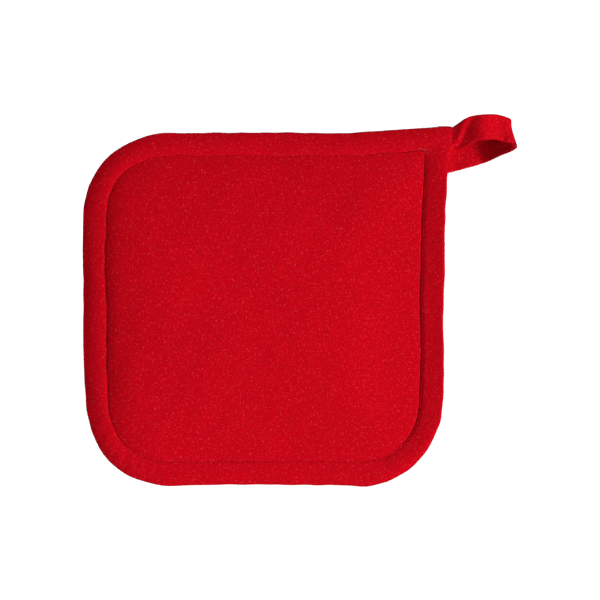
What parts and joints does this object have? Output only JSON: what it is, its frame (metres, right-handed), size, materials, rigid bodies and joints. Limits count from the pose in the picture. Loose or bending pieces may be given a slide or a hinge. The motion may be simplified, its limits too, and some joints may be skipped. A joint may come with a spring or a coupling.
{
  "type": "pot holder",
  "caption": "Square padded cotton pot holder with a folded tape binding round its edge and a hanging loop that folds at one corner.",
  "frame": {"origin": "middle of the pad's back face, on the surface that it lies on", "axes": "+X to the pad's right and along the hanging loop, +Y up the pad towards the edge with the loop, +Z out of the front face"},
  "size_m": [0.2266, 0.1949, 0.0139],
  "materials": {
    "panel_cotton": "plain-weave cotton canvas, red, matte with a fine fuzz",
    "tape_cotton": "the same cotton folded into tape, red, matte",
    "wadding": "off-white needled wadding",
    "sewing_thread": "spun sewing thread, red"
  },
  "bodies": {
    "pad": {"front_panel": "panel_cotton", "back_panel": "panel_cotton", "front_wadding": "wadding", "back_wadding": "wadding", "edge_binding": "tape_cotton", "binding_needle_thread": "sewing_thread", "binding_bobbin_thread": "sewing_thread", "loop_end_tab": "tape_cotton", "tab_thread": "sewing_thread"},
    "loop": {"hanging_loop": "tape_cotton", "loop_needle_thread": "sewing_thread", "loop_bobbin_thread": "sewing_thread"}
  },
  "joints": [
    {"name": "loop_fold", "type": "hinge", "parent": "pad", "child": "loop", "pos_m": [0.0959, 0.08375, 0.00525], "axis": [0, -1, 0], "range_deg": [-100, 105], "stiffness_Nm_per_rad": 0.002}
  ]
}
